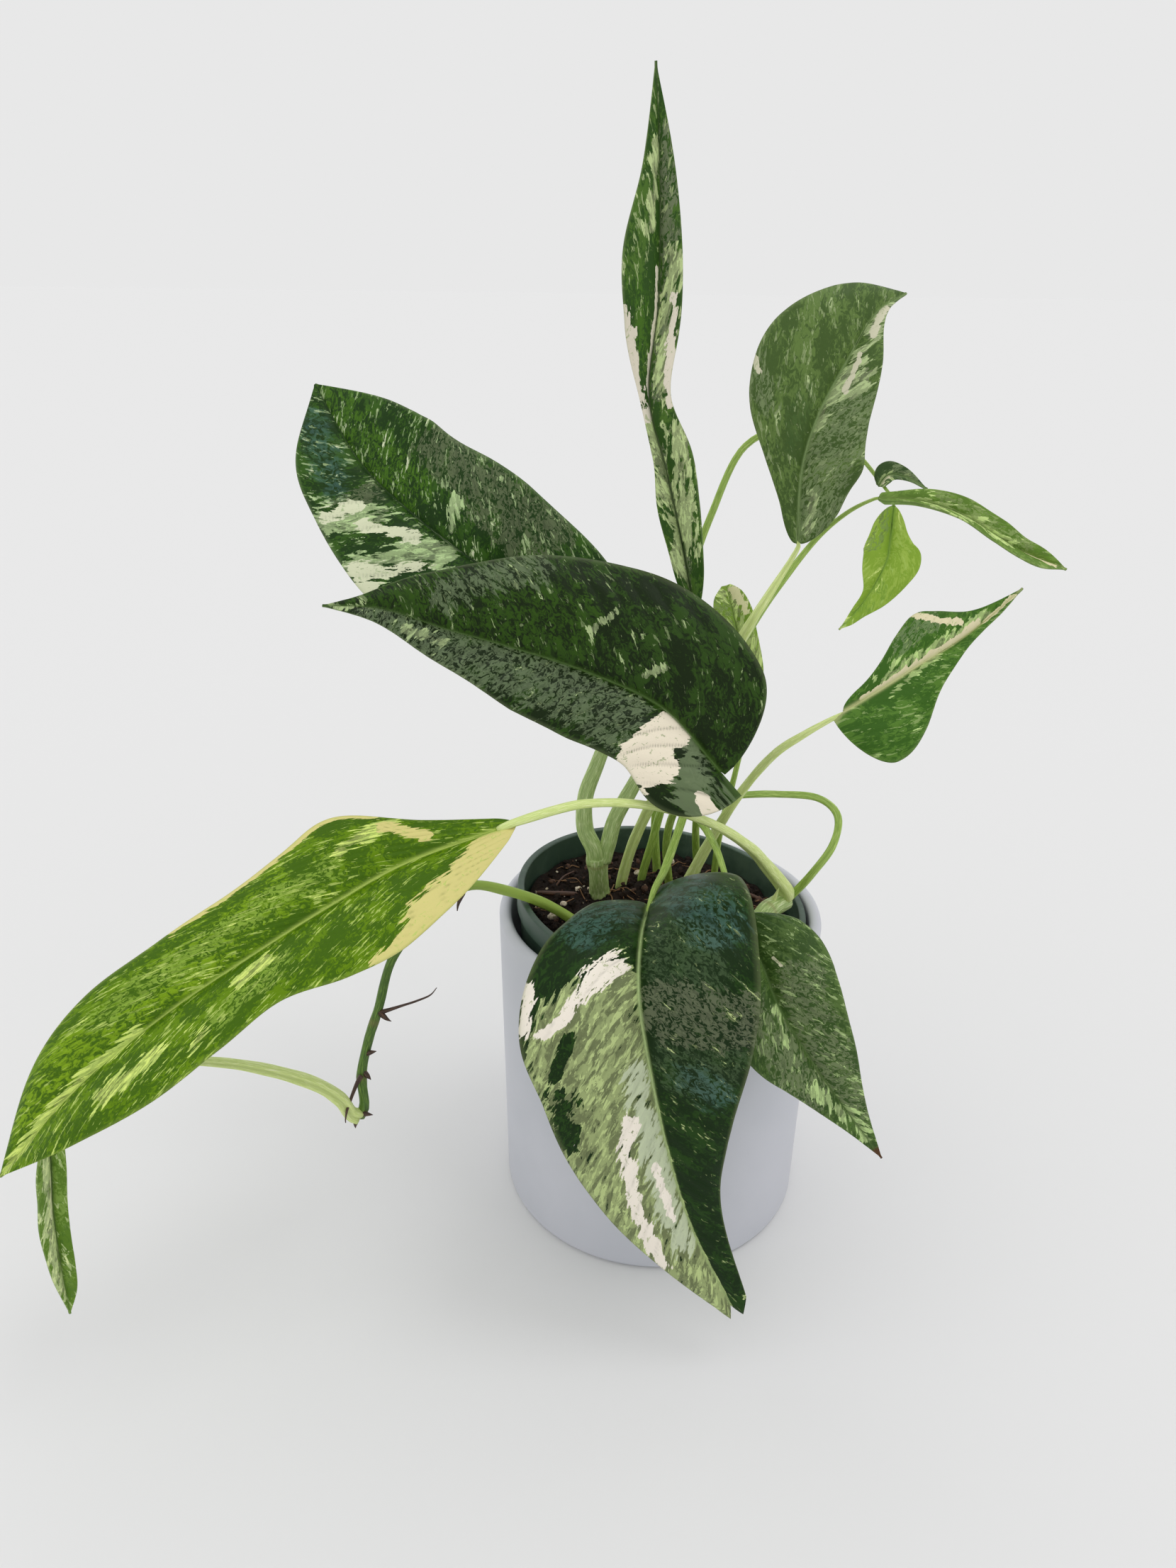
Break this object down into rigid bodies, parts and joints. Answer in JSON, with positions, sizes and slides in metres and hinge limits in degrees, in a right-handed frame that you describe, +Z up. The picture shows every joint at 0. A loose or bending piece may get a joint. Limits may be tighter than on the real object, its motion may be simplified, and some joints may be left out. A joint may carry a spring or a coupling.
{
  "type": "potted pothos plant",
  "caption": "Potted pothos with long variegated leaves on arching stalks and a short trailing vine, in a green nursery pot inside a plain white ceramic cover pot",
  "frame": {"origin": "the middle of the cover pot's flat underside, on the surface that it stands on", "axes": "+Z up along the cover pot's axis; the front leaf hangs towards -Y; +X is to the right seen from the front"},
  "size_m": [0.3797, 0.2132, 0.4561],
  "materials": {
    "glazed_ceramic": "satin",
    "green_plastic": "satin",
    "potting_mix": "matte",
    "leaf_blade": "satin",
    "leaf_stalk": "satin",
    "green_stem": "satin",
    "dark_vine": "satin",
    "aerial_root": "matte",
    "bark": "matte",
    "perlite": "matte"
  },
  "bodies": {
    "root": {"cover_pot": "glazed_ceramic", "nursery_pot": "green_plastic", "potting_soil": "potting_mix", "leaf_centre": "leaf_blade", "leaf_upper_left": "leaf_blade", "leaf_top": "leaf_blade", "leaf_upper_right": "leaf_blade", "leaf_right_rolled": "leaf_blade", "leaf_right_wing": "leaf_blade", "leaf_right_hanging": "leaf_blade", "leaf_right": "leaf_blade", "leaf_behind": "leaf_blade", "leaf_front": "leaf_blade", "leaf_front_right": "leaf_blade", "leaf_left": "leaf_blade", "leaf_vine_end": "leaf_blade", "main_stem": "green_stem", "right_stem": "green_stem", "trailing_vine": "dark_vine", "petiole_upper_left": "leaf_stalk", "petiole_top": "leaf_stalk", "petiole_upper_right": "leaf_stalk", "petiole_rolled": "leaf_stalk", "petiole_hanging": "leaf_stalk", "petiole_centre": "leaf_stalk", "petiole_front": "leaf_stalk", "petiole_right": "leaf_stalk", "petiole_behind": "leaf_stalk", "petiole_left": "leaf_stalk", "petiole_front_right": "leaf_stalk", "petiole_vine_end": "leaf_stalk", "vine_root_nib": "aerial_root", "vine_root_upper": "aerial_root", "vine_root_lower": "aerial_root", "bark_strip": "bark", "twig_right": "bark", "rootlet_left": "bark", "perlite_1": "perlite", "perlite_2": "perlite", "perlite_3": "perlite", "perlite_4": "perlite", "perlite_5": "perlite", "perlite_6": "perlite"}
  },
  "joints": []
}
